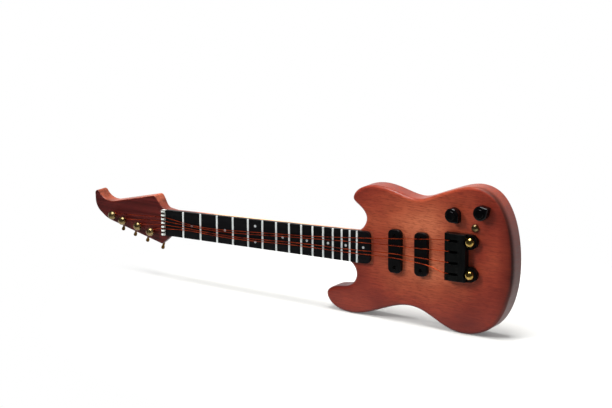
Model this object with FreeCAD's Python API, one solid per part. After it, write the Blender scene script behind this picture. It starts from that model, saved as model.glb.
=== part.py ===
import FreeCAD, Part
import math
import os

Vector = FreeCAD.Vector

# A small display model of a four-string electric bass, in millimetres.
# It is drawn with x along the neck from the nut to the tail, y from the front
# face into the body and z from the bass side to the treble side, and is then
# stood on the two lowest points of its bass edge.

# Body
neck_length = 117.0
body_length = 103.2
body_width = 74.0
body_thickness = 12.2
body_front_radius = 1.8
body_back_radius = 1.8
fillet_limit_share = 0.9
body_outline_shares = [
    (0.008, 0.205),
    (0.043, 0.295),
    (0.055, 0.415),
    (0.036, 0.514),
    (0.004, 0.589),
    (-0.018, 0.658),
    (-0.004, 0.759),
    (0.038, 0.835),
    (0.105, 0.872),
    (0.189, 0.844),
    (0.265, 0.782),
    (0.339, 0.748),
    (0.419, 0.812),
    (0.516, 0.913),
    (0.645, 0.991),
    (0.734, 0.908),
    (0.794, 0.697),
    (0.832, 0.372),
    (0.845, 0.000),
    (0.837, -0.334),
    (0.812, -0.596),
    (0.744, -0.892),
    (0.615, -1.039),
    (0.511, -0.999),
    (0.413, -0.864),
    (0.326, -0.767),
    (0.263, -0.760),
    (0.175, -0.820),
    (0.074, -0.919),
    (-0.019, -0.970),
    (-0.096, -0.940),
    (-0.152, -0.843),
    (-0.168, -0.704),
    (-0.140, -0.637),
    (-0.082, -0.607),
    (-0.031, -0.560),
    (-0.002, -0.428),
    (-0.010, -0.318),
    (-0.033, -0.248),
    (-0.050, -0.205),
]

# Neck, heel and pocket
nut_width = 13.9
heel_width = 16.7
neck_depth = 6.4
neck_side_height = 2.0
heel_depth = 7.0
heel_setback = 0.3
pocket_length = 10.0
glue_gap = 0.05
dowel_diameter = 3.0
dowel_spread = 8.4
dowel_bite = 3.0

# Headstock
headstock_length = 46.3
headstock_width = 25.6
headstock_thickness = 9.0
headstock_drop = 0.4
headstock_front_radius = 0.7
headstock_back_radius = 1.4
flare_length = 7.5
volute_start = 8.0
bass_bevel_lip = 1.2
bass_bevel_shares = (-0.57, -0.27)
hook_inner_radius = 9.0
hook_tip_radius = 1.6
hook_outer_radius = 9.0
hook_heel_radius = 14.0
headstock_corner_radius = 1.6
treble_flare_radius = 5.0
bass_flare_radius = 5.0
treble_flare_share = 0.040
treble_corner_shares = (0.157, 0.540)
hook_inner_shares = (0.875, 0.262)
hook_tip_shares = (1.0175, 0.691)
hook_outer_shares = (1.005, 0.150)
edge_start_shares = (0.840, -0.085)
edge_end_shares = (0.0626, -0.493)
bass_flare_share = -0.084

# Fingerboard, frets and dots
board_thickness = 1.8
board_corner_radius = 2.4
board_end_gap = 1.0
fret_count = 15
fret_width = 1.1
fret_crown = 0.35
fret_tang = 0.6
fret_inset = 0.05
first_fret_share = 0.0922
fret_step_share = 0.00421
dot_diameter = 1.35
dot_depth = 0.6
dot_rise = 0.04
dot_spread = 8.5
dot_spaces = range(2, fret_count + 2, 2)
double_dot_number = 6

# Nut
nut_thickness = 2.2
nut_rise = 1.5
nut_round = 1.0
tooth_count = 7
slot_width = 0.7
slot_depth = 1.0
tooth_bevel = 0.4

# Pickups and their screws
pickup_length = 22.4
pickup_width = 7.3
pickup_height = 2.4
pickup_corner_radius = 2.4
pickup_edge_radius = 0.5
pickup_screw_spread = 16.3
neck_pickup_share = 0.226
bridge_pickup_share = 0.369
screw_head_diameter = 1.8
screw_head_height = 0.6
screw_sink = 0.25
screw_shank_diameter = 0.9
screw_bite = 3.0
screw_slot_width = 0.3

# Bridge
bridge_place_share = 0.505
bridge_rise = 1.1
bridge_length = 11.6
bridge_width = 24.1
bridge_height = 4.4
bridge_edge_radius = 0.35
lip_length = 2.4
lip_drop = 0.8
notch_depth = 0.35
groove_length = 5.2
groove_width = 1.3
groove_depth = 1.9
anchor_inset = 1.1
anchor_depth = 1.6
string_pitch = 5.63
lug_reach = 1.8
lug_radius = 3.75
lug_pocket_gap = 0.15
lug_height = 2.7

# Dome-headed pins
bridge_pin_head_diameter = 5.1
bridge_pin_head_height = 2.3
bridge_pin_shank_diameter = 1.6
bridge_pin_bite = 5.0
stud_head_diameter = 4.0
stud_head_height = 2.2
stud_shank_diameter = 1.2
stud_bite = 5.0
stud_gap = 1.2
stud_place_share = 0.651
pin_fit = 0.02

# Knobs and their spindles
knob_diameter = 7.4
knob_height = 4.2
knob_edge_radius = 1.0
knob_tip_radius = 0.5
knob_cap_diameter = 4.6
knob_cap_height = 0.5
knob_cap_edge_radius = 0.35
knob_float = 0.3
knob_bore_end = 1.0
spindle_diameter = 2.0
spindle_bite = 5.0
spindle_end_gap = 0.3
running_fit = 0.04
volume_knob_shares = (0.541, 0.598)
volume_knob_angle = -45.0
tone_knob_shares = (0.690, 0.668)
tone_knob_angle = 32.0

# String posts and tuner keys, counted from the hook to the nut
post_head_diameter = 4.6
post_head_height = 2.3
post_stem = 2.5
post_shank_diameter = 1.7
post_bite = 5.2
post_setback_shares = [0.160, 0.144, 0.181, 0.186]
post_places_share = [0.1104, 0.3002, 0.5726, 0.7997]
key_diameter = 1.3
key_bite = 3.2
key_reach = 4.5
key_end_gap = 0.3
key_blade_width = 1.8
key_blade_length = 2.0
key_blade_thickness = 1.0
key_blade_edge_radius = 0.25
key_blade_corner_radius = 0.7
key_places_share = [0.2359, 0.4554, 0.6804, 0.958]

# Strings, as routes of hand-set points: share of the way from the bridge lip
# to the nut, and how far to the treble side of the neck's middle line
string_diameter = 0.4
string_seat_gap = 0.03
string_count = 4
string_turn_count = 2
string_turn_gap = 0.05
string_lead = 2.2
string_knee = 3.8
string_end_radius = 0.75
string_routes = [
    [
        (0.105, 8.1), (0.2, 6.5), (0.33, 4.5), (0.47, 2.7),
        (0.58, 1.8), (0.7, 0.9), (0.82, -0.1), (0.91, 0.9),
    ],
    [
        (0.105, 3.4), (0.2, 3.3), (0.33, 2.6), (0.47, 1.5),
        (0.58, 0.7), (0.7, -0.5), (0.82, -0.9), (0.91, 0.1),
    ],
    [
        (0.105, -1.2), (0.2, -0.8), (0.33, -1.6), (0.47, -1.4),
        (0.58, -1.9), (0.7, -2.8), (0.82, -2.4), (0.91, -1.3),
    ],
    [
        (0.055, -4.7), (0.105, -3.7), (0.2, -2.8), (0.33, -3.3), (0.47, -2.9),
        (0.58, -3.1), (0.7, -3.8), (0.82, -3.4), (0.91, -2.2),
    ],
]
string_run_share = 0.45

overrun = 2.0
sample_count = 600
least_turn = 1e-6
turn_stations = 4
lean_rounds = 4
bass_waist_share = 0.26
back_rest_share = 0.42

# Places that follow from the sizes
half_body = body_width / 2
half_nut = nut_width / 2
pocket_end = neck_length + pocket_length
board_start = nut_thickness / 2
board_end = pocket_end - board_end_gap
board_length = board_end - board_start
board_top = -board_thickness
nut_top = board_top - nut_rise
slot_floor = nut_top + slot_depth
headstock_back = headstock_drop + headstock_thickness
bridge_front = neck_length + bridge_place_share * body_length
bridge_back = bridge_front + bridge_length
lip_top = -(bridge_height - lip_drop)
notch_floor = lip_top + notch_depth
groove_floor = -(bridge_height - groove_depth)
string_radius = string_diameter / 2
string_turn_pitch = (post_stem - string_diameter - 2 * string_turn_gap) / string_turn_count
string_bridge_y = notch_floor - string_seat_gap - string_radius
string_nut_y = slot_floor - string_seat_gap - string_radius
anchor_x = bridge_front + lip_length + groove_length - anchor_inset
lug_x = bridge_back + lug_reach
lug_offset = bridge_width / 2 - lug_radius
knob_radius = knob_diameter / 2


def neck_width_at(x):
    return nut_width + (heel_width - nut_width) * x / board_end


def box(x0, x1, y0, y1, z0, z1):
    return Part.makeBox(x1 - x0, y1 - y0, z1 - z0, Vector(x0, y0, z0))


def rod(start, end, diameter):
    along = end - start
    return Part.makeCylinder(diameter / 2, along.Length, start, along)


def rounded_wire(points, radii):
    # Straight sides joined by tangent arcs, one radius for each corner.
    edges = []
    count = len(points)
    cuts = []
    for i in range(count):
        before = (points[i - 1] - points[i]).normalize()
        after = (points[(i + 1) % count] - points[i]).normalize()
        half_corner = before.getAngle(after) / 2
        reach = radii[i] / math.tan(half_corner)
        middle = (before + after).normalize()
        to_arc = radii[i] / math.sin(half_corner) - radii[i]
        cuts.append((points[i] + before * reach, points[i] + middle * to_arc, points[i] + after * reach))
    for i in range(count):
        arc_start, arc_middle, arc_end = cuts[i]
        if radii[i] > 0:
            edges.append(Part.Arc(arc_start, arc_middle, arc_end).toShape())
        edges.append(Part.LineSegment(arc_end, cuts[(i + 1) % count][0]).toShape())
    return Part.Wire(edges)


def slab(wire, y_front, y_back):
    shape = Part.Face(wire).extrude(Vector(0, y_back - y_front, 0))
    shape.translate(Vector(0, y_front, 0))
    return shape


def edges_level_with(shape, y):
    tolerance = pin_fit / 2
    return [e for e in shape.Edges if abs(e.BoundBox.YMin - y) + abs(e.BoundBox.YMax - y) < tolerance]


def dome_pin(place, head_diameter, head_height, stem, shank_diameter, bite):
    # A pin with a domed head, whose stem stands out of the face that holds it.
    head_radius = head_diameter / 2
    sphere = (head_radius ** 2 + head_height ** 2) / (2 * head_height)
    half_sweep = math.asin(min(1, head_radius / sphere)) / 2
    seat = -stem
    top = Vector(0, seat - head_height, 0)
    side = Vector(sphere * math.sin(half_sweep), top.y + sphere * (1 - math.cos(half_sweep)), 0)
    rim = Vector(head_radius, seat, 0)
    neck = Vector(shank_diameter / 2, seat, 0)
    foot = Vector(shank_diameter / 2, bite, 0)
    end = Vector(0, bite, 0)
    outline = [
        Part.Arc(top, side, rim).toShape(),
        Part.makeLine(rim, neck),
        Part.makeLine(neck, foot),
        Part.makeLine(foot, end),
        Part.makeLine(end, top),
    ]
    pin = Part.Face(Part.Wire(outline)).revolve(Vector(0, 0, 0), Vector(0, 1, 0), 360)
    pin.translate(place)
    return pin


def pin_hole(place, diameter, depth, start=0):
    begin = place + Vector(0, start, 0)
    return rod(begin, begin + Vector(0, depth, 0), diameter + 2 * pin_fit)


# Places on the body and headstock
def body_point(x_share, z_share):
    return Vector(neck_length + x_share * body_length, 0, z_share * half_body)


def headstock_point(shares):
    return Vector(-shares[0] * headstock_length, 0, shares[1] * headstock_width)


edge_start = headstock_point(edge_start_shares)
edge_end = headstock_point(edge_end_shares)
edge_along = (edge_end - edge_start).normalize()
edge_out = Vector(edge_along.z, 0, -edge_along.x)


def edge_point(share):
    return edge_start + (edge_end - edge_start) * share


post_places = []
for place_share, setback_share in zip(post_places_share, post_setback_shares):
    post_inset = Vector(0, headstock_drop, 0) - edge_out * setback_share * headstock_width
    post_places.append(edge_point(place_share) + post_inset)
key_depth = Vector(0, headstock_drop + headstock_thickness / 2, 0)
key_places = [edge_point(s) + key_depth for s in key_places_share]
lug_places = {
    "bridge_pin_treble": Vector(lug_x, 0, bridge_rise + lug_offset),
    "bridge_pin_bass": Vector(lug_x, 0, bridge_rise - lug_offset),
}
stud_z = bridge_rise + bridge_width / 2 + stud_gap + stud_head_diameter / 2
stud_place = body_point(stud_place_share, 0) + Vector(0, 0, stud_z)
knob_places = {"volume_knob": body_point(*volume_knob_shares), "tone_knob": body_point(*tone_knob_shares)}
knob_angles = {"volume_knob": volume_knob_angle, "tone_knob": tone_knob_angle}
pickup_places = {
    "neck_pickup": body_point(neck_pickup_share, 0),
    "bridge_pickup": body_point(bridge_pickup_share, 0),
}
screw_places = []
for pickup_place in pickup_places.values():
    screw_places.append(pickup_place + Vector(0, 0, pickup_screw_spread / 2))
    screw_places.append(pickup_place - Vector(0, 0, pickup_screw_spread / 2))
dowel_x = neck_length + pocket_length / 2
dowel_places = [Vector(dowel_x, 0, dowel_spread / 2), Vector(dowel_x, 0, -dowel_spread / 2)]
string_ranks = [(string_count - 1) / 2 - i for i in range(string_count)]
string_places = [bridge_rise + string_pitch * rank for rank in string_ranks]
slot_pitch = (nut_width + slot_width) / tooth_count
slot_places = [slot_pitch * rank for rank in string_ranks]


# Body
def body_curve():
    curve = Part.BSplineCurve()
    curve.interpolate([body_point(*shares) for shares in body_outline_shares])
    return curve


def body_wire():
    curve = body_curve()
    return Part.Wire([curve.toShape(), Part.makeLine(curve.EndPoint, curve.StartPoint)])


def tightest_bend():
    # The least radius of the outline where it bulges outwards.
    curve = body_curve()
    step = (curve.LastParameter - curve.FirstParameter) / sample_count
    radii = []
    for i in range(sample_count):
        first = curve.getDN(curve.FirstParameter + i * step, 1)
        second = curve.getDN(curve.FirstParameter + i * step, 2)
        outward = first.z * second.x - first.x * second.z
        if outward > 0:
            radii.append(first.Length ** 3 / outward)
    return min(radii)


def pocket_mouth_x(z):
    # The straight edge across the neck pocket, from its treble to its bass end.
    treble = body_point(*body_outline_shares[0])
    bass = body_point(*body_outline_shares[-1])
    return bass.x + (treble.x - bass.x) * (z - bass.z) / (treble.z - bass.z)


def make_body():
    shape = slab(body_wire(), 0, body_thickness)
    front_rims = [e for e in edges_level_with(shape, 0) if e.Length > body_length]
    limit = fillet_limit_share * tightest_bend()
    shape = shape.makeFillet(min(body_front_radius, limit), front_rims)
    back_rims = [e for e in edges_level_with(shape, body_thickness) if e.Length > body_length]
    shape = shape.makeFillet(min(body_back_radius, limit), back_rims)
    half_pocket = heel_width / 2 + glue_gap
    pocket_start = neck_length - pocket_length
    cuts = [box(pocket_start, pocket_end + glue_gap, -overrun, heel_depth, -half_pocket, half_pocket)]
    cuts += [pin_hole(p, dowel_diameter, heel_depth + dowel_bite) for p in dowel_places]
    cuts += [pin_hole(p, screw_shank_diameter, screw_bite) for p in screw_places]
    cuts += [pin_hole(p, bridge_pin_shank_diameter, bridge_pin_bite) for p in lug_places.values()]
    cuts += [pin_hole(p, spindle_diameter, spindle_bite) for p in knob_places.values()]
    cuts.append(pin_hole(stud_place, stud_shank_diameter, stud_bite))
    return shape.cut(cuts)


# Neck with heel and headstock
def volute_cut():
    # A wedge that takes off the back of the headstock, deeper towards the neck.
    x_far = flare_length + overrun
    points = [
        Vector(-volute_start, headstock_back, -headstock_width),
        Vector(flare_length, neck_side_height, -headstock_width),
        Vector(x_far, neck_side_height, -headstock_width),
        Vector(x_far, headstock_back, -headstock_width),
    ]
    return Part.Face(Part.makePolygon(points + points[:1])).extrude(Vector(0, 0, 2 * headstock_width))


def bass_bevel(corner, root):
    # A slanted block that takes the back off the bass corner, behind a thin lip.
    x_far = flare_length + overrun
    y = headstock_drop + bass_bevel_lip
    depth = headstock_back - y + overrun
    start = corner * 2 - root
    points = [
        Vector(start.x, y, start.z),
        Vector(root.x, y, root.z),
        Vector(x_far, y, root.z),
        Vector(x_far, y, -headstock_width),
        Vector(start.x, y, -headstock_width),
    ]
    slant = Vector(bass_bevel_shares[0] * depth, depth, bass_bevel_shares[1] * depth)
    return Part.Face(Part.makePolygon(points + points[:1])).extrude(slant)


def headstock_slab():
    neck_edge = Vector(flare_length, 0, neck_width_at(flare_length) / 2)
    treble_root = Vector(-treble_flare_share * headstock_length, 0, half_nut)
    bass_root = Vector(-bass_flare_share * headstock_length, 0, -half_nut)
    corners = [
        (neck_edge, 0),
        (treble_root, treble_flare_radius),
        (headstock_point(treble_corner_shares), headstock_corner_radius),
        (headstock_point(hook_inner_shares), hook_inner_radius),
        (headstock_point(hook_tip_shares), hook_tip_radius),
        (headstock_point(hook_outer_shares), hook_outer_radius),
        (edge_start, hook_heel_radius),
        (edge_end, headstock_corner_radius),
        (bass_root, bass_flare_radius),
        (Vector(flare_length, 0, -neck_edge.z), 0),
    ]
    wire = rounded_wire([c[0] for c in corners], [c[1] for c in corners])
    shape = slab(wire, headstock_drop, headstock_back)
    rounding = ((headstock_drop, headstock_front_radius), (headstock_back, headstock_back_radius))
    for level, radius in rounding:
        rims = [e for e in edges_level_with(shape, level) if e.BoundBox.XMin < flare_length - pin_fit]
        shape = shape.makeFillet(radius, rims)
    return shape.cut([volute_cut(), bass_bevel(edge_end, bass_root)])


def neck_section(x):
    half = neck_width_at(x) / 2
    corners = [
        Vector(x, neck_side_height, -half),
        Vector(x, 0, -half),
        Vector(x, 0, half),
        Vector(x, neck_side_height, half),
    ]
    sides = [Part.makeLine(corners[i], corners[i + 1]) for i in range(len(corners) - 1)]
    back = Part.Arc(corners[-1], Vector(x, neck_depth, 0), corners[0]).toShape()
    return Part.Wire(sides + [back])


def make_neck():
    half_heel = heel_width / 2
    heel_points = [
        Vector(pocket_mouth_x(half_heel) + heel_setback, 0, half_heel),
        Vector(pocket_end, 0, half_heel),
        Vector(pocket_end, 0, -half_heel),
        Vector(pocket_mouth_x(-half_heel) + heel_setback, 0, -half_heel),
    ]
    heel = slab(Part.makePolygon(heel_points + heel_points[:1]), 0, heel_depth)
    shaft_end = heel_points[0].x + heel_setback
    shaft = Part.makeLoft([neck_section(-board_start), neck_section(shaft_end)], True, True)
    shape = headstock_slab().fuse([shaft, heel]).removeSplitter()
    cuts = [pin_hole(p, post_shank_diameter, post_bite) for p in post_places]
    for place in key_places:
        bore = key_diameter + 2 * running_fit
        cuts.append(rod(place + edge_out * overrun, place - edge_out * (key_bite + key_end_gap), bore))
    cuts += [pin_hole(p, dowel_diameter, heel_depth + overrun, -overrun) for p in dowel_places]
    return shape.cut(cuts)


def make_neck_dowels():
    bottom = Vector(0, heel_depth + dowel_bite, 0)
    return Part.makeCompound([rod(p, p + bottom, dowel_diameter) for p in dowel_places])


# Fingerboard, frets, dots and nut
def fret_share(number):
    return first_fret_share * number - fret_step_share * number * (number - 1) / 2


def fret_x(number):
    if number > fret_count:
        return board_end
    return board_start + board_length * fret_share(number)


def dot_places():
    places = []
    for space in dot_spaces:
        x = (fret_x(space - 1) + fret_x(space)) / 2
        spread = dot_spread / 2 if space == double_dot_number else 0
        places += [Vector(x, board_top, z) for z in sorted({spread, -spread})]
    return places


def dot(place, rise):
    return rod(place - Vector(0, rise, 0), place + Vector(0, dot_depth, 0), dot_diameter)


def make_fret(number):
    x = fret_x(number)
    half = fret_width / 2
    bottom = board_top + fret_tang
    length = neck_width_at(x) - 2 * fret_inset
    z = -length / 2
    corners = [
        Vector(x + half, board_top, z),
        Vector(x + half, bottom, z),
        Vector(x - half, bottom, z),
        Vector(x - half, board_top, z),
    ]
    edges = [Part.makeLine(corners[i], corners[i + 1]) for i in range(len(corners) - 1)]
    edges.append(Part.Arc(corners[-1], Vector(x, board_top - fret_crown, z), corners[0]).toShape())
    return Part.Face(Part.Wire(edges)).extrude(Vector(0, 0, length))


def make_fingerboard():
    half_start = neck_width_at(board_start) / 2
    half_end = heel_width / 2
    corners = [
        Vector(board_start, 0, half_start),
        Vector(board_end, 0, half_end),
        Vector(board_end, 0, -half_end),
        Vector(board_start, 0, -half_start),
    ]
    wire = rounded_wire(corners, [0, board_corner_radius, board_corner_radius, 0])
    shape = slab(wire, board_top, 0)
    half = fret_width / 2
    y0 = board_top - overrun
    y1 = board_top + fret_tang
    cuts = []
    for number in range(1, fret_count + 1):
        x = fret_x(number)
        cuts.append(box(x - half, x + half, y0, y1, -heel_width, heel_width))
    cuts += [dot(p, overrun) for p in dot_places()]
    return shape.cut(cuts)


def make_inlay_dots():
    return Part.makeCompound([dot(p, dot_rise) for p in dot_places()])


def make_nut():
    half = nut_thickness / 2
    shape = box(-half, half, nut_top, 0, -half_nut, half_nut)
    rims = [e for e in edges_level_with(shape, nut_top) if e.Length > nut_thickness]
    shape = shape.makeFillet(nut_round, rims)
    half_slot = slot_width / 2
    half_mouth = half_slot + tooth_bevel
    profile = [
        (-half_mouth, nut_top - overrun),
        (-half_mouth, nut_top),
        (-half_slot, nut_top + tooth_bevel),
        (-half_slot, slot_floor),
    ]
    profile += [(-side, y) for side, y in reversed(profile)]
    cuts = []
    for i in range(1, tooth_count):
        middle = -half_nut + slot_pitch * i - half_slot
        corners = [Vector(-nut_thickness, y, middle + side) for side, y in profile]
        face = Part.Face(Part.makePolygon(corners + corners[:1]))
        cuts.append(face.extrude(Vector(2 * nut_thickness, 0, 0)))
    return shape.cut(cuts)


# Pickups and their screws
def make_pickup(name):
    centre = pickup_places[name]
    half_x = pickup_width / 2
    half_z = pickup_length / 2
    corners = [
        centre + Vector(-half_x, 0, -half_z),
        centre + Vector(half_x, 0, -half_z),
        centre + Vector(half_x, 0, half_z),
        centre + Vector(-half_x, 0, half_z),
    ]
    shape = slab(rounded_wire(corners, [pickup_corner_radius] * len(corners)), -pickup_height, 0)
    shape = shape.makeFillet(pickup_edge_radius, edges_level_with(shape, -pickup_height))
    cuts = []
    for place in screw_places:
        top = place - Vector(0, pickup_height, 0)
        cuts.append(pin_hole(top, screw_head_diameter, screw_sink + screw_head_height + overrun, -overrun))
        cuts.append(pin_hole(top, screw_shank_diameter, pickup_height + overrun))
    return shape.cut(cuts)


def make_pickup_screws():
    screws = []
    for place in screw_places:
        head_top = place + Vector(0, screw_sink - pickup_height, 0)
        head_seat = head_top + Vector(0, screw_head_height, 0)
        head = rod(head_top, head_seat, screw_head_diameter)
        shank = rod(head_seat, place + Vector(0, screw_bite, 0), screw_shank_diameter)
        half_slot = screw_slot_width / 2
        x0 = place.x - screw_head_diameter
        x1 = place.x + screw_head_diameter
        slot_end = head_top.y + screw_head_height / 2
        slot = box(x0, x1, head_top.y - overrun, slot_end, place.z - half_slot, place.z + half_slot)
        screws.append(head.fuse(shank).cut(slot))
    return Part.makeCompound(screws)


# Bridge with its pins, and the stud beside it
def make_bridge():
    half = bridge_width / 2
    z0 = bridge_rise - half
    z1 = bridge_rise + half
    block = box(bridge_front, bridge_back, -bridge_height, 0, z0, z1)
    block = block.makeFillet(bridge_edge_radius, edges_level_with(block, -bridge_height))
    lugs = []
    for place in lug_places.values():
        lug = rod(place - Vector(0, lug_height, 0), place, 2 * lug_radius)
        web_z0 = place.z - lug_radius
        web_z1 = place.z + lug_radius
        web = box(bridge_back - lug_radius, lug_x, -lug_height, 0, web_z0, web_z1)
        lugs.append(lug.fuse(web))
    shape = block.fuse(lugs).removeSplitter()
    lip_back = bridge_front + lip_length
    groove_back = lip_back + groove_length
    x_out = bridge_front - overrun
    y_out = -bridge_height - overrun
    half_notch = slot_width / 2
    half_groove = groove_width / 2
    cuts = [box(x_out, lip_back, y_out, lip_top, z0 - overrun, z1 + overrun)]
    for z in string_places:
        cuts.append(box(x_out, lip_back, y_out, notch_floor, z - half_notch, z + half_notch))
        cuts.append(box(lip_back, groove_back, y_out, groove_floor, z - half_groove, z + half_groove))
        anchor = Vector(anchor_x, groove_floor, z)
        cuts.append(rod(anchor, anchor + Vector(0, anchor_depth, 0), slot_width))
    for place in lug_places.values():
        cuts.append(pin_hole(place, bridge_pin_shank_diameter, 2 * lug_height, -lug_height))
        seat = place - Vector(0, lug_height, 0)
        pocket = bridge_pin_head_diameter + 2 * lug_pocket_gap
        cuts.append(rod(seat, seat - Vector(0, bridge_height, 0), pocket))
    return shape.cut(cuts)


def make_bridge_pin(name):
    return dome_pin(
        lug_places[name],
        bridge_pin_head_diameter,
        bridge_pin_head_height,
        lug_height,
        bridge_pin_shank_diameter,
        bridge_pin_bite,
    )


def make_switch_stud():
    return dome_pin(stud_place, stud_head_diameter, stud_head_height, 0, stud_shank_diameter, stud_bite)


# Knobs and spindles
def make_knob(name):
    # A round knob drawn out to a square corner that points along its angle.
    centre = knob_places[name]
    point = Vector(knob_radius * math.sqrt(2), 0, 0)
    shoulder = knob_radius / math.sqrt(2)
    tip_reach = knob_tip_radius
    tip_middle = point - Vector(knob_tip_radius * (math.sqrt(2) - 1), 0, 0)
    inward = tip_reach / math.sqrt(2)
    tip_low = point + Vector(-inward, 0, -inward)
    tip_high = point + Vector(-inward, 0, inward)
    low = Vector(shoulder, 0, -shoulder)
    high = Vector(shoulder, 0, shoulder)
    edges = [
        Part.Arc(high, Vector(-knob_radius, 0, 0), low).toShape(),
        Part.makeLine(low, tip_low),
        Part.Arc(tip_low, tip_middle, tip_high).toShape(),
        Part.makeLine(tip_high, high),
    ]
    bottom = -knob_float
    shoulder_top = bottom - knob_height
    skirt = slab(Part.Wire(edges), shoulder_top, bottom)
    skirt = skirt.makeFillet(knob_edge_radius, edges_level_with(skirt, shoulder_top))
    cap_top = Vector(0, shoulder_top - knob_cap_height, 0)
    cap = rod(cap_top, Vector(0, bottom, 0), knob_cap_diameter)
    cap = cap.makeFillet(knob_cap_edge_radius, edges_level_with(cap, cap_top.y))
    bore_top = Vector(0, shoulder_top + knob_bore_end, 0)
    bore = rod(bore_top, Vector(0, overrun, 0), spindle_diameter + 2 * running_fit)
    shape = skirt.fuse(cap).removeSplitter().cut(bore)
    shape.rotate(Vector(0, 0, 0), Vector(0, -1, 0), knob_angles[name])
    shape.translate(centre)
    return shape


def make_spindle(name):
    centre = knob_places[name]
    top = -knob_float - knob_height + knob_bore_end + spindle_end_gap
    return rod(centre + Vector(0, top, 0), centre + Vector(0, spindle_bite, 0), spindle_diameter)


# Posts and keys
def make_post(place):
    return dome_pin(place, post_head_diameter, post_head_height, post_stem, post_shank_diameter, post_bite)


def make_key(place):
    shaft_end = place + edge_out * (key_reach - key_blade_length / 2)
    shaft = rod(place - edge_out * key_bite, shaft_end, key_diameter)
    near = place + edge_out * (key_reach - key_blade_length)
    far = place + edge_out * key_reach
    aside = edge_along * (key_blade_width / 2)
    corners = [near - aside, near + aside, far + aside, far - aside]
    radii = [key_blade_corner_radius] * len(corners)
    wire = rounded_wire([Vector(c.x, 0, c.z) for c in corners], radii)
    front = place.y - key_blade_thickness / 2
    back = place.y + key_blade_thickness / 2
    blade = slab(wire, front, back)
    rims = edges_level_with(blade, front) + edges_level_with(blade, back)
    blade = blade.makeFillet(key_blade_edge_radius, rims)
    return shaft.fuse(blade).removeSplitter()


# Strings
def arc_from(start, tangent, end):
    # The arc that leaves start along tangent and passes through end.
    chord = end - start
    half_turn = tangent.getAngle(chord)
    if half_turn < least_turn:
        return Part.makeLine(start, end)
    side = tangent - chord * (tangent.dot(chord) / chord.dot(chord))
    rise = chord.Length / 2 * math.tan(half_turn / 2)
    return Part.Arc(start, start + chord / 2 + side.normalize() * rise, end).toShape()


def biarc(start, start_tangent, end, end_tangent):
    span = end - start
    both = start_tangent + end_tangent
    spread = 2 * (1 - start_tangent.dot(end_tangent))
    along = span.dot(both)
    reach = (math.sqrt(along ** 2 + spread * span.dot(span)) - along) / spread
    middle = (start + end + (start_tangent - end_tangent) * reach) / 2
    return [arc_from(start, start_tangent, middle), arc_from(end, end_tangent * -1, middle)]


def rounded_route(points):
    # Straight runs joined by arcs as large as the runs beside them allow.
    edges = []
    radii = []
    last = points[0]
    for i in range(1, len(points) - 1):
        before = points[i - 1] - points[i]
        after = points[i + 1] - points[i]
        reach = string_run_share * min(before.Length, after.Length)
        arc_start = points[i] + before.normalize() * reach
        arc_end = points[i] + after.normalize() * reach
        half_turn = (math.pi - before.getAngle(after)) / 2
        radii.append(reach / math.tan(half_turn))
        edges.append(Part.makeLine(last, arc_start))
        edges.append(arc_from(arc_start, before * -1, arc_end))
        last = arc_end
    edges.append(Part.makeLine(last, points[-1]))
    return edges, radii


def winding(centre, radius, start_angle, start_y):
    # Points and directions along the turns, going down from the head to the wood.
    stations = []
    for station in range(turn_stations * string_turn_count + 1):
        turns = station / turn_stations
        angle = start_angle + 2 * math.pi * turns
        y = start_y + string_turn_pitch * turns
        point = Vector(centre.x + radius * math.cos(angle), y, centre.z + radius * math.sin(angle))
        fall = string_turn_pitch / (2 * math.pi)
        heading = Vector(-radius * math.sin(angle), fall, radius * math.cos(angle)).normalize()
        stations.append((point, heading))
    return stations


def string_path(number):
    lip_x = bridge_front + lip_length / 2
    z = string_places[number]
    post = post_places[number]
    turn_radius = post_shank_diameter / 2 + string_turn_gap + string_radius
    turn_y = headstock_drop - post_stem + string_turn_gap + string_radius
    anchor = Vector(anchor_x, string_bridge_y, z)
    foot = Vector(anchor_x, groove_floor + anchor_depth / 2, z)
    corner_end = anchor - Vector(string_end_radius, 0, 0)
    corner_start = anchor + Vector(0, string_end_radius, 0)
    edges = [Part.makeLine(foot, corner_start), arc_from(corner_start, Vector(0, -1, 0), corner_end)]
    points = [corner_end, Vector(lip_x - lip_length, string_bridge_y, z)]
    for share, side in string_routes[number]:
        y = string_bridge_y + (string_nut_y - string_bridge_y) * share
        points.append(Vector(lip_x * (1 - share), y, side))
    slot_z = slot_places[number]
    points.append(Vector(nut_thickness, string_nut_y, slot_z))
    nut_exit = Vector(-nut_thickness, string_nut_y, slot_z)
    points.append(nut_exit)
    stations = winding(post, turn_radius, math.pi / 2, turn_y)
    first_point, first_heading = stations[0]
    to_nut = Vector(nut_exit.x - first_point.x, 0, nut_exit.z - first_point.z).normalize()
    lead = first_point + to_nut * string_lead
    points += [first_point + to_nut * string_knee, lead]
    route, radii = rounded_route(points)
    edges += route
    edges += biarc(lead, to_nut * -1, first_point, first_heading)
    for i in range(len(stations) - 1):
        edges += biarc(*stations[i], *stations[i + 1])
    last_point, last_heading = stations[-1]
    edges.append(Part.makeLine(last_point, last_point + last_heading * string_diameter))
    return Part.Wire(edges), radii


def least_self_gap(wire):
    # Clear space between stretches that lie more than a half turn apart.
    points = wire.discretize(Number=sample_count)
    step = wire.Length / (sample_count - 1)
    apart = math.ceil(math.pi * (post_shank_diameter / 2 + string_diameter) / step)
    gaps = []
    for i in range(sample_count - apart):
        gaps += [(points[i] - points[j]).Length for j in range(i + apart, sample_count)]
    return min(gaps) - string_diameter


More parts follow.
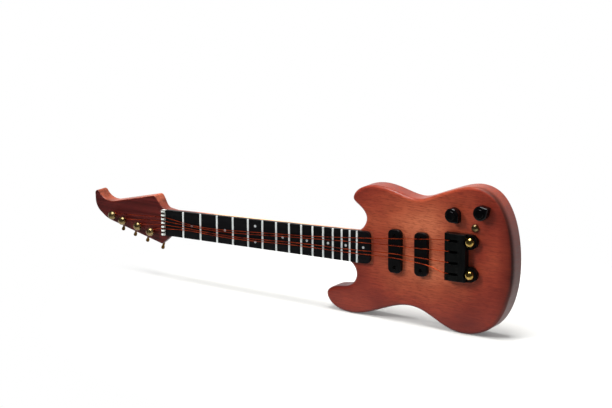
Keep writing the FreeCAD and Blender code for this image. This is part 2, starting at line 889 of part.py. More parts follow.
def make_string(number):
    wire, radii = string_path(number)
    start = wire.OrderedVertexes[0].Point
    profile = Part.Wire(Part.makeCircle(string_radius, start, Vector(0, 1, 0)))
    shape = wire.makePipeShell([profile], True, False)
    plain_volume = math.pi * string_radius ** 2 * wire.Length
    print("string_%d length %.2f" % (number + 1, wire.Length))
    print("  volume share of section times length %.5f" % (shape.Volume / plain_volume))
    print("  least gap to itself %.3f" % least_self_gap(wire))
    print("  bend radii", [round(r, 1) for r in radii])
    return shape


# The whole part
shapes = {
    "body": make_body(),
    "neck": make_neck(),
    "neck_dowels": make_neck_dowels(),
    "fingerboard": make_fingerboard(),
    "inlay_dots": make_inlay_dots(),
    "nut": make_nut(),
    "pickup_screws": make_pickup_screws(),
    "bridge": make_bridge(),
    "switch_stud": make_switch_stud(),
    "volume_spindle": make_spindle("volume_knob"),
    "tone_spindle": make_spindle("tone_knob"),
}
for number in range(1, fret_count + 1):
    shapes["fret_%02d" % number] = make_fret(number)
for name in pickup_places:
    shapes[name] = make_pickup(name)
for name in lug_places:
    shapes[name] = make_bridge_pin(name)
for name in knob_places:
    shapes[name] = make_knob(name)
for number, place in enumerate(post_places, start=1):
    shapes["tuner_post_%d" % number] = make_post(place)
for number, place in enumerate(key_places, start=1):
    shapes["tuner_key_%d" % number] = make_key(place)
for number in range(string_count):
    shapes["string_%d" % (number + 1)] = make_string(number)


def lowest(points, lean):
    return min(points, key=lambda p: p.z * math.cos(lean) + p.x * math.sin(lean))


def standing_lean():
    # The slope of the line that touches the horn and the bout from below.
    points = body_wire().discretize(Number=sample_count)
    waist = body_point(bass_waist_share, 0)
    horn_side = [p for p in points if p.x < waist.x]
    bout_side = [p for p in points if p.x >= waist.x]
    lean = 0
    for _ in range(lean_rounds):
        horn = lowest(horn_side, lean)
        bout = lowest(bout_side, lean)
        lean = math.atan2(horn.z - bout.z, bout.x - horn.x)
    return lean


turn = FreeCAD.Rotation(Vector(0, -1, 0), math.degrees(standing_lean()))
leaned = FreeCAD.Placement(Vector(0, 0, 0), turn)
everything = Part.makeCompound([s.transformed(leaned.toMatrix(), True) for s in shapes.values()])
around = everything.optimalBoundingBox(True, False)
shift = Vector(-around.Center.x, -around.Center.y, -around.ZMin)
stand = FreeCAD.Placement(shift, turn)

os.makedirs("parts", exist_ok=True)
for name, shape in shapes.items():
    placed = shape.transformed(stand.toMatrix(), True)
    placed.exportStep("parts/%s.step" % name)
    print(name, placed.isValid(), len(placed.Solids), round(placed.Volume, 3))

print("lean %.3f degrees" % math.degrees(standing_lean()))
print("size", round(around.XLength, 2), round(around.YLength, 2), round(around.ZLength, 2))
print("shift", shift)
for name, place in knob_places.items():
    print(name, stand.multVec(place))
for number, place in enumerate(key_places, start=1):
    print("tuner_key_%d" % number, stand.multVec(place), stand.Rotation.multVec(edge_out))
back_rest = body_point(back_rest_share, 0) + Vector(0, body_thickness, 0)
print("back rest", stand.multVec(back_rest))
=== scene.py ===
import math
import bpy
import numpy as np
from mathutils import Matrix, Vector


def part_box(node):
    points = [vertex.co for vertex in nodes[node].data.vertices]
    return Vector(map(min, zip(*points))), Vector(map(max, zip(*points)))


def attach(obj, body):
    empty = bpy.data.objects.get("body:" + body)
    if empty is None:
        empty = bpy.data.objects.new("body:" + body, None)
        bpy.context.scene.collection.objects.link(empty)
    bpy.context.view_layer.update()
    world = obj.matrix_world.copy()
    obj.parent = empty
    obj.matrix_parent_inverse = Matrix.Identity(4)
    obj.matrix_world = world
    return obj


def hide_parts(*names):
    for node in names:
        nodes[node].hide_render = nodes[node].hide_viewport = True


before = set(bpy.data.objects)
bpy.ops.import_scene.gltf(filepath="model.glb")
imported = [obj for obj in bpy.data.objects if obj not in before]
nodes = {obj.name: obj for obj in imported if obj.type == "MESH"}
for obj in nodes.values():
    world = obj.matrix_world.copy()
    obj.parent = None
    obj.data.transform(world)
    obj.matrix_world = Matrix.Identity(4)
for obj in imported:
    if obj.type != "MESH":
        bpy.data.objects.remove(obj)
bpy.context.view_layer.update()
mm = 0.001
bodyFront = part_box("body")[0].y  # the plane that everything on the body stands on
print("frame:", len(nodes), "nodes")

# camera at the photograph's angle, for an image of 612 x 408
cameraView = {
    "azimuth": 29.888, "elevation": 13.115, "roll": 1.697,  # degrees
    "target": (8.472, -3.6, 53.559), "distance": 1030.62,  # mm
    "lens": 117.65, "sensor": 36.0,  # mm
}


def addCamera(view):
    azimuth, elevation, roll = (math.radians(view[key]) for key in ("azimuth", "elevation", "roll"))
    level = Vector((math.cos(azimuth), math.sin(azimuth), 0))
    back = Vector((math.sin(azimuth), -math.cos(azimuth), 0)) * math.cos(elevation)
    back.z = math.sin(elevation)
    right = level * math.cos(roll) + back.cross(level) * math.sin(roll)
    up = back.cross(right)
    place = (Vector(view["target"]) + back * view["distance"]) * mm
    lens = bpy.data.cameras.new("camera")
    lens.sensor_fit = "HORIZONTAL"
    lens.sensor_width = view["sensor"]
    lens.lens = view["lens"]
    camera = bpy.data.objects.new("camera", lens)
    bpy.context.scene.collection.objects.link(camera)
    turn = Matrix((right, up, back)).transposed()
    camera.matrix_world = Matrix.Translation(place) @ turn.to_4x4()
    bpy.context.scene.camera = camera


addCamera(cameraView)
print("camera set")

# strings: slack copper wires, from the bridge over the nut to two turns round a post
strings = {
    "diameter": 0.4,  # mm, as all lengths here
    "sides": 12, "splineSteps": 8, "splineOrder": 3,
    "ringLean": (0.3, 0.8, 0.52),  # a slant that no stretch of a string runs along
    "anchorX": 175.616, "footY": -1.7, "bridgeY": -3.48, "cornerRun": 1.5,
    "lipX": 170.316, "lipExitX": 167.916, "bridgeZ": (9.545, 3.915, -1.715, -7.345),
    "nutX": 2.2, "nutY": -2.53, "nutZ": (3.129, 1.043, -1.043, -3.129),
    "turnRadius": 1.10, "turnY": -1.85, "turnPitch": 1.0, "turns": 2, "turnPoints": 16,
    "knee": 3.8, "lead": 2.2, "tail": 0.4,
    # share of the way from the bridge lip to the nut, and mm above the neck's middle line
    "routes": (
        ((.105, 8.1), (.20, 6.5), (.33, 4.5), (.47, 2.7), (.58, 1.8), (.70, .9), (.82, -.1), (.91, .9)),
        ((.105, 3.4), (.20, 3.3), (.33, 2.6), (.47, 1.5), (.58, .7), (.70, -.5), (.82, -.9), (.91, .1)),
        ((.105, -1.2), (.20, -.8), (.33, -1.6), (.47, -1.4), (.58, -1.9), (.70, -2.8), (.82, -2.4),
         (.91, -1.3)),
        ((.055, -4.7), (.105, -3.7), (.20, -2.8), (.33, -3.3), (.47, -2.9), (.58, -3.1), (.70, -3.8),
         (.82, -3.4), (.91, -2.2)),
    ),
}


def boxMiddle(node):
    low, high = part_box(node)
    return (low + high) / 2


def neckFrame():
    # the neck's own axes: x from the nut to the last fret, y into the body, z to the treble side
    nut, lastFret = boxMiddle("nut"), boxMiddle("fret_15")
    along = Vector((lastFret.x - nut.x, 0, lastFret.z - nut.z)).normalized()
    return (nut.x, bodyFront, nut.z), np.array((along, (0, 1, 0), (-along.z, 0, along.x)))


def stringRoute(number):
    # control points on the neck's axes: anchor, bridge lip, the listed route, nut, then a helix whose
    # angle and depth both grow evenly along its turns
    s = strings
    z = s["bridgeZ"][number]
    route = [(s["anchorX"], s["footY"], z), (s["anchorX"], s["bridgeY"], z),
             (s["anchorX"] - s["cornerRun"], s["bridgeY"], z), (s["lipExitX"], s["bridgeY"], z)]
    for share, side in s["routes"][number]:
        route.append((s["lipX"] * (1 - share), s["bridgeY"] + (s["nutY"] - s["bridgeY"]) * share, side))
    slotZ = s["nutZ"][number]
    route += [(s["nutX"], s["nutY"], slotZ), (-s["nutX"], s["nutY"], slotZ)]
    origin, axes = neckFrame()
    post = axes @ (np.array(boxMiddle("tuner_post_%d" % (number + 1))) - origin) / mm
    first = np.array((post[0], s["turnY"], post[2] + s["turnRadius"]))
    toNut = np.array((-s["nutX"] - first[0], 0, slotZ - first[2]))
    toNut /= np.linalg.norm(toNut)
    route += [tuple(first + toNut * s["knee"]), tuple(first + toNut * s["lead"])]
    radius = s["turnRadius"] / math.cos(math.pi / s["turnPoints"])  # the spline runs inside its points
    for i in range(s["turns"] * s["turnPoints"] + 1):
        turn = i / s["turnPoints"]
        angle = math.pi / 2 + 2 * math.pi * turn
        route.append((post[0] + radius * math.cos(angle), s["turnY"] + s["turnPitch"] * turn,
                      post[2] + radius * math.sin(angle)))
    end, before = np.array(route[-1]), np.array(route[-2])
    route.append(tuple(end + (end - before) / np.linalg.norm(end - before) * s["tail"]))
    return np.array(route)


def splinePoints(points):
    # points along the smooth line of a spline that has these control points
    curve = bpy.data.curves.new("stringLine", "CURVE")
    curve.dimensions = "3D"
    curve.resolution_u = strings["splineSteps"]
    spline = curve.splines.new("NURBS")
    spline.points.add(len(points) - 1)
    spline.points.foreach_set("co", np.column_stack((points, np.ones(len(points)))).ravel())
    spline.order_u = strings["splineOrder"]
    spline.use_endpoint_u = True
    carrier = bpy.data.objects.new("stringLine", curve)
    line = bpy.data.meshes.new_from_object(carrier)
    found = np.zeros(len(line.vertices) * 3)
    line.vertices.foreach_get("co", found)
    bpy.data.objects.remove(carrier)
    bpy.data.curves.remove(curve)
    bpy.data.meshes.remove(line)
    return found.reshape(-1, 3)


def tubeMesh(name, line, radius, sides):
    # a circle carried along the line: point = centre + radius (cos v side + sin v up), side = heading x
    # a fixed slanted vector, up = side x heading; a point in the middle closes each end
    heading = np.gradient(line, axis=0)
    heading /= np.linalg.norm(heading, axis=1)[:, None]
    side = np.cross(heading, strings["ringLean"])
    side /= np.linalg.norm(side, axis=1)[:, None]
    up = np.cross(side, heading)
    v = np.linspace(0, 2 * math.pi, sides, endpoint=False)
    ring = np.cos(v)[None, :, None] * side[:, None, :] + np.sin(v)[None, :, None] * up[:, None, :]
    points = np.vstack(((line[:, None, :] + radius * ring).reshape(-1, 3), line[:1], line[-1:]))
    count = len(line)
    row, col = np.meshgrid(np.arange(count - 1), np.arange(sides), indexing="ij")
    nextCol = (col + 1) % sides
    quads = np.stack((row * sides + col, row * sides + nextCol, (row + 1) * sides + nextCol,
                      (row + 1) * sides + col), -1).reshape(-1, 4)
    rim = np.arange(sides)
    start = np.column_stack((np.full(sides, count * sides), (rim + 1) % sides, rim))
    last = (count - 1) * sides
    end = np.column_stack((np.full(sides, count * sides + 1), last + rim, last + (rim + 1) % sides))
    mesh = bpy.data.meshes.new(name)
    mesh.from_pydata(points.tolist(), [], quads.tolist() + start.tolist() + end.tolist())
    mesh.shade_smooth()
    return mesh


def addStrings():
    origin, axes = neckFrame()
    made = []
    for number in range(len(strings["routes"])):
        line = splinePoints(np.array(origin) + stringRoute(number) * mm @ axes)
        name = "copper_string_%d" % (number + 1)
        tube = tubeMesh(name, line, strings["diameter"] / 2 * mm, strings["sides"])
        wire = bpy.data.objects.new(name, tube)
        bpy.context.scene.collection.objects.link(wire)
        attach(wire, "instrument")
        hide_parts("string_%d" % (number + 1))
        length = np.linalg.norm(np.diff(line, axis=0), axis=1).sum()
        print(name, "length %.1f mm" % (length / mm))
        made.append(wire)
    return made


wires = addStrings()
print("strings:", len(wires))


def linear(hexColour):
    # an sRGB hex value as linear red, green, blue and 1, by the sRGB standard's own numbers
    part = np.array([int(hexColour[i:i + 2], 16) / 255 for i in (1, 3, 5)])
    part = np.where(part <= 0.04045, part / 12.92, ((part + 0.055) / 1.055) ** 2.4)
    return (*part.tolist(), 1)


def addNode(tree, kind, links=(), out=0, **settings):
    # adds a node; links is its inputs in order, or by name, each a value or another node's output
    node = tree.nodes.new("ShaderNode" + kind)
    for key, value in settings.items():
        setattr(node, key, value)
    for socket, value in links.items() if isinstance(links, dict) else enumerate(links):
        if isinstance(value, bpy.types.NodeSocket):
            tree.links.new(value, node.inputs[socket])
        else:
            node.inputs[socket].default_value = value
    return node.outputs[out] if node.outputs else node


def perMm(sizes):
    # Object coordinates are metres; this turns them into patches of these sizes in mm
    return [1 / (size * mm) for size in sizes]


def newMaterial(name):
    material = bpy.data.materials.new(name)
    material.use_nodes = True
    material.node_tree.nodes.clear()
    return material, material.node_tree, addNode(material.node_tree, "TexCoord", out="Object")


def named(start):
    return [name for name in nodes if name.startswith(start)]


def paint(material, *names):
    for name in names:
        mesh = (nodes[name] if name in nodes else bpy.data.objects[name]).data
        mesh.materials.clear()
        mesh.materials.append(material)


# what the body's and the neck's wood have in common; a noise gives 0.3 to 0.7 over most of a surface
woodGrain = {
    "detail": {"fibre": 4, "pores": 2, "cloud": 2},
    "cloudSpan": (0.3, 0.7), "cloudMost": 0.07,
    "fibreSpan": (0.35, 0.65), "shineSpan": (0.3, 0.7),
    "poreSpan": (0.52, 0.64), "poreMost": 0.38, "poreRelief": 0.25,
    "patchEdge": (1.1, 0.1), "patchBlend": 0.25,  # shares of a patch's half size, and of lightness
}

# body: stained beech under a satin lacquer. The stain is light in the middle of the face and dark red
# towards the ends, the grain runs along the body as fine dashes, and the lacquer shows pale at a low
# angle. The tail end is darkened further, with a dark band behind its rim, both painted shade. Beech has
# pores of about 0.1 mm, drawn four times as wide so that they show
bodyWood = {
    "name": "satinLacqueredStainedBeech",
    "stain": ((0.0, "#5D1914"), (0.3, "#823020"), (0.65, "#99462D"), (1.0, "#B26041")),
    # x, z, half length and half height in mm, and the lightness in the middle
    "facePatches": (
        (76, 52, 40, 28, 1.0), (78, 31, 42, 27, 1.0),
        (38, 8, 20, 12, 0.3), (100, 70, 22, 14, 0.35),  # lower horn and upper tail
        (114, 41, 20, 26, 0.38), (50, 50, 18, 17, 0.66),  # past the bridge, and beside the board's end
    ),
    # the sides are lighter towards the top: partly the stain, partly painted light from the lamp overhead
    "sidePatches": ((92, 75, 90, 60, 0.5),),
    # painted shade: the tail end, facing away from the lamps, is darker
    "endShade": (117, 124, 0.6),  # x in mm from and to, and the darkest share
    "fibre": (10, 3, 0.55), "pores": (2.6, 1.0, 0.45), "cloud": (14, 10, 9),  # mm along x, y and z
    "grain": (0.84, 1.14), "poreColour": "#521812",
    "faceY": bodyFront / mm, "rimDepth": 1.0,
    # a dark, dull band behind the face's edge at the tail, painted shade for the dark that the rounding
    # mirrors there: axis, and where it comes in, from and to, in mm; for Y that is the depth behind the face
    "paintedRimShade": (("Y", 0.1, 0.7), ("Y", 5.0, 1.0), ("X", 99, 113), ("Z", 14, 36)),
    "paintedRimShadeDark": 0.32, "rimShadeDull": 0.3,
    "roughness": (0.32, 0.44), "ior": 1.34, "bump": 0.03,
}

# neck: the same wood; the headstock's face is stained nearly black-red, and the treble side stays orange,
# while the lower, bass side is left dark as painted shade
neckWood = {
    "name": "satinLacqueredDarkBeech",
    # the palest stop, at 1.4, is reached only by the pale edge under the board, a painted highlight
    "stain": ((0.0, "#3E0F10"), (0.33, "#561C16"), (0.66, "#A5543A"), (1.0, "#DC8660"), (1.4, "#F0C79A")),
    "facePatches": ((-100, 34, 300, 120, 0.1), (48.5, 36, 20, 60, 0.56)),  # all, and the heel past the board
    "sidePatches": (
        # lighter on the upper, treble side and darker below; the darker lower side is painted shade
        (-118, 50, 110, 30, 0.76), (0, 46, 110, 25, 0.9),
        # the pale edge under the board, on the treble side: a painted highlight, where the side mirrors the
        # white backdrop
        (-36, 45.3, 40, 9, 3.0), (-8, 47.6, 45, 9, 3.0), (20, 49.9, 45, 9, 3.0), (45, 52.0, 40, 9, 3.0),
    ),
    "endShade": (-116, -128, 0.75),
    "fibre": (30, 6, 1.5), "pores": (4, 1.2, 0.4), "cloud": (12, 8, 7),
    "grain": (0.7, 1.3), "poreColour": "#2C0E0B",
    "faceY": bodyFront / mm + 0.35, "rimDepth": 0.5,
    "roughness": (0.32, 0.44), "ior": 1.33, "bump": 0.03,
}


def patchField(tree, place, patches):
    # lightness of the patches: most in the middle of each, 0 outside its ellipse, joined softly
    field = None
    for x, z, halfLength, halfHeight, most in patches:
        off = addNode(tree, "VectorMath", [place, (x * mm, 0, z * mm)], operation="SUBTRACT")
        flat = addNode(tree, "VectorMath", [off, (1 / (halfLength * mm), 0, 1 / (halfHeight * mm))],
                       operation="MULTIPLY")
        away = addNode(tree, "VectorMath", [flat], "Value", operation="LENGTH")
        light = addNode(tree, "MapRange", [away, *woodGrain["patchEdge"], 0, most])
        field = light if field is None else addNode(tree, "Math", [field, light, woodGrain["patchBlend"]],
                                                    operation="SMOOTH_MAX")
    return field


def rimShadeMask(tree, axis, wood):
    # 1 in the band of painted shade along part of the rim: the product of a soft step for each of its spans
    paintedRimShade = None
    for key, start, end in wood["paintedRimShade"]:
        base = wood["faceY"] if key == "Y" else 0
        step = addNode(tree, "MapRange", [axis[key], (base + start) * mm, (base + end) * mm],
                       interpolation_type="SMOOTHSTEP")
        paintedRimShade = step if paintedRimShade is None else addNode(tree, "Math", [paintedRimShade, step], operation="MULTIPLY")
    return paintedRimShade


def stainedWood(wood):
    # lightness of the stain = patches on the face, other patches on the sides, each with soft clouds;
    # the fibre noise then makes it lighter and darker in lines, and the pores add dark dashes
    material, tree, place = newMaterial(wood["name"])
    axis = addNode(tree, "SeparateXYZ", [place]).node.outputs
    faceEnd = (wood["faceY"] + wood["rimDepth"]) * mm
    onFace = addNode(tree, "MapRange", [axis["Y"], faceEnd, wood["faceY"] * mm],
                     interpolation_type="SMOOTHSTEP")
    noise = {}
    for key, detail in woodGrain["detail"].items():
        scaled = addNode(tree, "VectorMath", [place, perMm(wood[key])], operation="MULTIPLY")
        noise[key] = addNode(tree, "TexNoise", {"Vector": scaled, "Scale": 1.0, "Detail": detail})
    most = woodGrain["cloudMost"]
    soft = addNode(tree, "MapRange", [noise["cloud"], *woodGrain["cloudSpan"], -most, most])
    face = patchField(tree, place, wood["facePatches"])
    side = patchField(tree, place, wood["sidePatches"])
    lightness = addNode(tree, "Mix", {0: onFace, 2: side, 3: face})
    lightness = addNode(tree, "Math", [lightness, soft], operation="ADD")
    low, tone = wood["stain"][0]
    colour = linear(tone)
    for high, tone in wood["stain"][1:]:
        step = addNode(tree, "MapRange", [lightness, low, high])
        colour = addNode(tree, "Mix", {0: step, 6: colour, 7: linear(tone)}, 2, data_type="RGBA")
        low = high
    grain = addNode(tree, "MapRange", [noise["fibre"], *woodGrain["fibreSpan"], *wood["grain"]])
    # darker towards one end of the piece; at the body's tail that is painted shade
    start, end, darkest = wood["endShade"]
    shade = addNode(tree, "MapRange", [axis["X"], start * mm, end * mm, 1, darkest])
    grain = addNode(tree, "Math", [grain, shade], operation="MULTIPLY")
    rough = addNode(tree, "MapRange", [noise["fibre"], *woodGrain["shineSpan"], *wood["roughness"]])
    # painted shade: in the rim band the colour is darkened, and the lacquer made duller
    if "paintedRimShade" in wood:
        paintedRimShade = rimShadeMask(tree, axis, wood)
        dark = addNode(tree, "MapRange", [paintedRimShade, 0, 1, 1, wood["paintedRimShadeDark"]])
        grain = addNode(tree, "Math", [grain, dark], operation="MULTIPLY")
        rough = addNode(tree, "Math", [paintedRimShade, wood["rimShadeDull"], rough], operation="MULTIPLY_ADD")
    colour = addNode(tree, "VectorMath", {0: colour, "Scale": grain}, operation="SCALE")
    dash = addNode(tree, "MapRange", [noise["pores"], *woodGrain["poreSpan"], 0, woodGrain["poreMost"]])
    colour = addNode(tree, "Mix", {0: dash, 6: colour, 7: linear(wood["poreColour"])}, 2, data_type="RGBA")
    relief = addNode(tree, "Bump", {"Height": noise["pores"], "Strength": woodGrain["poreRelief"],
                                    "Distance": wood["bump"] * mm})
    shader = addNode(tree, "BsdfPrincipled", {"Base Color": colour, "Roughness": rough, "Normal": relief,
                                              "IOR": wood["ior"]})
    addNode(tree, "OutputMaterial", {"Surface": shader})
    return material


paint(stainedWood(bodyWood), "body")
paint(stainedWood(neckWood), "neck")
print("wood stained")


def slotShade(tree, place):
    # 1 in the nut's slots, where they are darkened as painted shade: cos(2 pi across / pitch) is least
    # there, and only down to the slots' depth
    middle, top = boxMiddle("nut"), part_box("nut")[0].y
    across = neckFrame()[1][2] / (nutBone["pitch"] * mm)
    off = addNode(tree, "VectorMath", [place, tuple(middle)], operation="SUBTRACT")
    turn = addNode(tree, "VectorMath", [off, tuple(across * 2 * math.pi)], "Value", operation="DOT_PRODUCT")
    wave = addNode(tree, "Math", [turn], operation="COSINE")
    slot = addNode(tree, "MapRange", [wave, *nutBone["slotWave"], 0, nutBone["slotMost"]],
                   interpolation_type="SMOOTHSTEP")
    down = addNode(tree, "SeparateXYZ", [place]).node.outputs["Y"]
    depth = nutBone["slotDepth"] * mm
    inDepth = addNode(tree, "MapRange", [down, top + nutBone["slotFade"] * depth, top + depth])
    return addNode(tree, "Math", [slot, inDepth], operation="MULTIPLY")


def grooveShade(tree, place):
    # 1 where a string lies down in its groove, past the lip of the bridge, to be darkened there as painted
    # shade
    along = addNode(tree, "SeparateXYZ", [place]).node.outputs["X"]
    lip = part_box("bridge")[0].x
    return addNode(tree, "MapRange", [along, lip + wireLook["lip"][0] * mm, lip + wireLook["lip"][1] * mm],
                   interpolation_type="SMOOTHSTEP")


# what all plain finishes have in common
finishNoise = {"detail": 3, "span": (0.3, 0.7), "relief": 0.2}


def plainFinish(look, paintedShade=None):
    # two tones of a colour in a noise pattern, which also sets the shine and the relief; painted shade goes
    # on top
    material, tree, place = newMaterial(look["name"])
    scaled = addNode(tree, "VectorMath", [place, perMm(look["pattern"])], operation="MULTIPLY")
    pattern = addNode(tree, "TexNoise", {"Vector": scaled, "Scale": 1.0, "Detail": finishNoise["detail"]})
    tone = addNode(tree, "MapRange", [pattern, *finishNoise["span"]])
    dark, light = (linear(colour) for colour in look["colours"])
    colour = addNode(tree, "Mix", {0: tone, 6: dark, 7: light}, 2, data_type="RGBA")
    if paintedShade:
        colour = addNode(tree, "Mix", {0: paintedShade(tree, place), 6: colour, 7: linear(look["paintedShade"])}, 2,
                         data_type="RGBA")
    rough = addNode(tree, "MapRange", [pattern, *finishNoise["span"], *look["roughness"]])
    relief = addNode(tree, "Bump", {"Height": pattern, "Strength": finishNoise["relief"],
                                    "Distance": look["bump"] * mm})
    shader = addNode(tree, "BsdfPrincipled", {"Base Color": colour, "Roughness": rough, "Normal": relief,
                                              **look["sockets"]})
    addNode(tree, "OutputMaterial", {"Surface": shader})
    return material


# pattern sizes and bump heights below are in mm

# dowels: bare beech, pale with brown flecks along the pin
dowelWood = {"name": "bareBeech", "colours": ("#B98F62", "#D9B98C"), "pattern": (1.2, 8, 1.2),
             "roughness": (0.6, 0.75), "bump": 0.03, "sockets": {"IOR": 1.45}}
paint(plainFinish(dowelWood), "neck_dowels")

# fingerboard: hardwood dyed black and thinly waxed, so it stays dark with faint lines along the neck
boardWood = {"name": "waxedBlackDyedWood", "colours": ("#030304", "#0E0E11"), "pattern": (14, 3, 0.7),
             "roughness": (0.4, 0.55), "bump": 0.03, "sockets": {"IOR": 1.22}}
paint(plainFinish(boardWood), "fingerboard")

# frets: tinned strip under silver paint, pale grey and dull, rubbed along its length
fretMetal = {"name": "dullSilverPaint", "colours": ("#D0D7D7", "#F0F4F3"), "pattern": (0.6, 0.6, 4),
             "roughness": (0.35, 0.5), "bump": 0.01, "sockets": {"Metallic": 0.25}}
paint(plainFinish(fretMetal), *named("fret_"))

# dots: cast resin like pearl, cloudy grey and white
dotResin = {"name": "pearlyCastResin", "colours": ("#7A8084", "#C8CCCE"), "pattern": (0.8, 0.8, 0.8),
            "roughness": (0.25, 0.4), "bump": 0.01, "sockets": {"IOR": 1.5}}
paint(plainFinish(dotResin), "inlay_dots")

# nut: sawn and polished bone, white with faint lines, and dark in the slots with painted shade
nutBone = {"name": "polishedBone", "colours": ("#C4C9C5", "#E2E5E0"), "pattern": (1.5, 1.5, 4),
           "roughness": (0.3, 0.45), "bump": 0.02, "sockets": {"IOR": 1.5},
           "paintedShade": "#1E1812", "pitch": 2.0857, "slotDepth": 1.0, "slotFade": 1.3,
           "slotWave": (0.5, -0.4), "slotMost": 0.95}
paint(plainFinish(nutBone, slotShade), "nut")

# pickups: moulded black ABS with a spark-eroded grit, drawn three times as coarse so that it shows
pickupPlastic = {"name": "mouldedBlackAbs", "colours": ("#020203", "#060607"), "pattern": (0.3, 0.3, 0.3),
                 "roughness": (0.32, 0.46), "bump": 0.04, "sockets": {"IOR": 1.25}}
paint(plainFinish(pickupPlastic), "neck_pickup", "bridge_pickup")

# screws: blackened steel, worn bright in patches
screwSteel = {"name": "blackenedSteel", "colours": ("#060606", "#1A1918"), "pattern": (0.5, 0.5, 0.5),
              "roughness": (0.35, 0.55), "bump": 0.01, "sockets": {"Metallic": 1.0}}
paint(plainFinish(screwSteel), "pickup_screws")

# bridge: wood painted satin black by brush, with faint strokes across
bridgePaint = {"name": "brushedBlackPaint", "colours": ("#020303", "#090A0A"), "pattern": (0.7, 1.5, 6),
               "roughness": (0.32, 0.46), "bump": 0.05, "sockets": {"IOR": 1.25}}
paint(plainFinish(bridgePaint), "bridge")

# knobs: pressed black resin, polished; bright lights stay small and sharp in it
knobResin = {"name": "polishedBlackResin", "colours": ("#020203", "#080708"), "pattern": (3, 3, 3),
             "roughness": (0.1, 0.22), "bump": 0.01, "sockets": {"IOR": 1.27}}
paint(plainFinish(knobResin), "volume_knob", "tone_knob")

# spindles: turned steel, bright with fine rings round the pin
spindleSteel = {"name": "turnedSteel", "colours": ("#8C9094", "#B4B8BB"), "pattern": (3, 0.2, 3),
                "roughness": (0.25, 0.4), "bump": 0.01, "sockets": {"Metallic": 1.0}}
paint(plainFinish(spindleSteel), "volume_spindle", "tone_spindle")

# pins: turned brass, bright with brown tarnish in clouds
brassLook = {"name": "tarnishedBrass", "colours": ("#7C5F28", "#C8AC62"), "pattern": (1.6, 1.6, 1.6),
             "roughness": (0.14, 0.28), "bump": 0.01, "sockets": {"Metallic": 1.0}}
paint(plainFinish(brassLook), "bridge_pin_treble", "bridge_pin_bass")

# string posts and stud: old brass nails, duller and greyer than the pins
postBrass = {"name": "oldBrass", "colours": ("#5A4A2C", "#A89368"), "pattern": (1.2, 1.2, 1.2),
             "roughness": (0.3, 0.45), "bump": 0.01, "sockets": {"Metallic": 1.0}}
paint(plainFinish(postBrass), "switch_stud", *named("tuner_post_"))

# tuner keys: pressed brass, brown from handling
keyBrass = {"name": "brownedBrass", "colours": ("#3A2610", "#745322"), "pattern": (1.2, 1.2, 1.2),
            "roughness": (0.25, 0.45), "bump": 0.01, "sockets": {"Metallic": 1.0}}
paint(plainFinish(keyBrass), *named("tuner_key_"))

# strings: copper wire under clear red enamel, darker where the enamel is thick, nearly black in the grooves
# as painted shade
wireLook = {"name": "redEnamelledCopper", "colours": ("#80240F", "#D25228"), "pattern": (4, 4, 4),
            "roughness": (0.25, 0.4), "bump": 0.01, "sockets": {"Metallic": 1.0},
            "paintedShade": "#0C0605", "lip": (2.2, 3.2)}
paint(plainFinish(wireLook, grooveShade), *[wire.name for wire in wires])
print("finishes:", len(bpy.data.materials))

# studio: white paper under and behind the object, a dark room in front and above that shows only in shiny
# surfaces, a soft box overhead, a smaller one in front on the left and a weak one behind
studio = {
    "floorSize": 8.0, "floorSeen": "#DCDCD9", "floorBounce": "#A8A8A6", "floorDark": "#303030",
    "paperEdge": (-0.1, -0.01),  # lengths in m
    # the floor keeps its shadow this near to the middle, and is plain white further out
    "clearMiddle": (0.06, 0, 0), "clearFrom": 0.115, "clearTo": 0.18, "glow": 0.16,
    "roomLight": 0.17, "darkRoom": 0.05, "roomAxis": (0.2, -0.98, 1.8), "roomSpan": (-0.1, 0.2),
    # place and size in m, power in W, seen in shiny surfaces or not
    "boxes": (
        ((0.06, -0.08, 0.85), (0.42, 0.42), 11.0, True),
        ((-0.56, -0.74, 0.64), (0.3, 0.3), 10.8, False),
        ((0.25, 0.9, 0.8), (0.5, 0.5), 2.5, False),
    ),
    "aim": (0.03, 0, 0.03),
}


def rayKinds(tree):
    # 1 for what the camera sees, and 1 for what a shiny or a clear surface shows
    rays = addNode(tree, "LightPath").node.outputs
    shiny = addNode(tree, "Math", [rays["Is Glossy Ray"], rays["Is Transmission Ray"]], operation="MAXIMUM")
    return rays["Is Camera Ray"], shiny


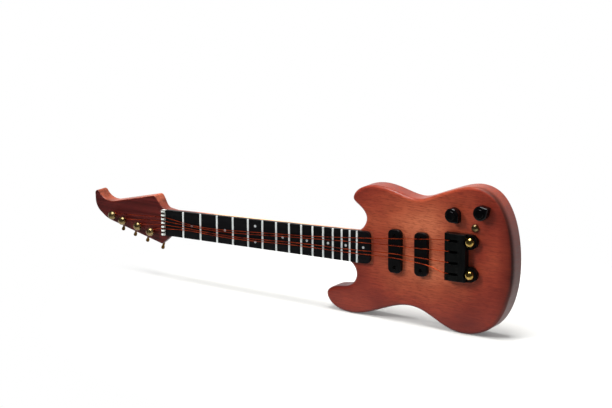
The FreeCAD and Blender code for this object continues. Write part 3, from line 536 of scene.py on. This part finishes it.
def addFloor(plan):
    half = plan["floorSize"] / 2
    mesh = bpy.data.meshes.new("floor")
    corners = [(-half, -half, 0), (half, -half, 0), (half, half, 0), (-half, half, 0)]
    mesh.from_pydata(corners, [], [(0, 1, 2, 3)])
    floor = bpy.data.objects.new("floor", mesh)
    bpy.context.scene.collection.objects.link(floor)
    material, tree, place = newMaterial("whitePaper")
    off = addNode(tree, "VectorMath", [place, plan["clearMiddle"]], operation="SUBTRACT")
    away = addNode(tree, "VectorMath", [off], "Value", operation="LENGTH")
    clear = addNode(tree, "MapRange", [away, plan["clearFrom"], plan["clearTo"], plan["glow"], 1],
                    interpolation_type="SMOOTHSTEP")
    depth = addNode(tree, "SeparateXYZ", [place]).node.outputs["Y"]
    paper = addNode(tree, "MapRange", [depth, *plan["paperEdge"]], interpolation_type="SMOOTHSTEP")
    byCamera, shiny = rayKinds(tree)
    shown = addNode(tree, "Math", [shiny, paper], operation="MULTIPLY")
    seen = addNode(tree, "Math", [byCamera, shown], operation="MAXIMUM")
    hidden = addNode(tree, "Math", [shiny, shown], operation="SUBTRACT")
    colour = linear(plan["floorBounce"])
    for factor, tone in ((seen, "floorSeen"), (hidden, "floorDark")):
        colour = addNode(tree, "Mix", {0: factor, 6: colour, 7: linear(plan[tone])}, 2, data_type="RGBA")
    matt = addNode(tree, "BsdfDiffuse", {"Color": colour})
    white = addNode(tree, "Emission", {"Color": (1, 1, 1, 1), "Strength": 1.0})
    far = addNode(tree, "Math", [clear, seen], operation="MULTIPLY")
    addNode(tree, "OutputMaterial", {"Surface": addNode(tree, "MixShader", [far, matt, white])})
    mesh.materials.append(material)


def addLight(plan):
    for place, size, power, seen in plan["boxes"]:
        lamp = bpy.data.lights.new("softBox", "AREA")
        lamp.shape = "RECTANGLE"
        lamp.size, lamp.size_y = size
        lamp.energy = power
        box = bpy.data.objects.new("softBox", lamp)
        box.location = place
        box.visible_glossy = seen
        box.rotation_euler = (Vector(plan["aim"]) - box.location).to_track_quat("-Z", "Y").to_euler()
        bpy.context.scene.collection.objects.link(box)
    world = bpy.data.worlds.new("studioRoom")
    bpy.context.scene.world = world
    world.use_nodes = True
    tree = world.node_tree
    tree.nodes.clear()
    way = addNode(tree, "TexCoord", out="Generated")
    forward = addNode(tree, "VectorMath", [way, plan["roomAxis"]], "Value", operation="DOT_PRODUCT")
    backdrop = addNode(tree, "MapRange", [forward, *plan["roomSpan"], 1, plan["darkRoom"]],
                       interpolation_type="SMOOTHSTEP")
    byCamera, shiny = rayKinds(tree)
    strength = addNode(tree, "Mix", {0: shiny, 2: plan["roomLight"], 3: backdrop})
    strength = addNode(tree, "Mix", {0: byCamera, 2: strength, 3: 1.0})
    room = addNode(tree, "Background", {"Color": (1, 1, 1, 1), "Strength": strength})
    addNode(tree, "OutputWorld", {"Surface": room})


addFloor(studio)
addLight(studio)
bpy.context.scene.view_settings.view_transform = "Standard"
print("studio lit")
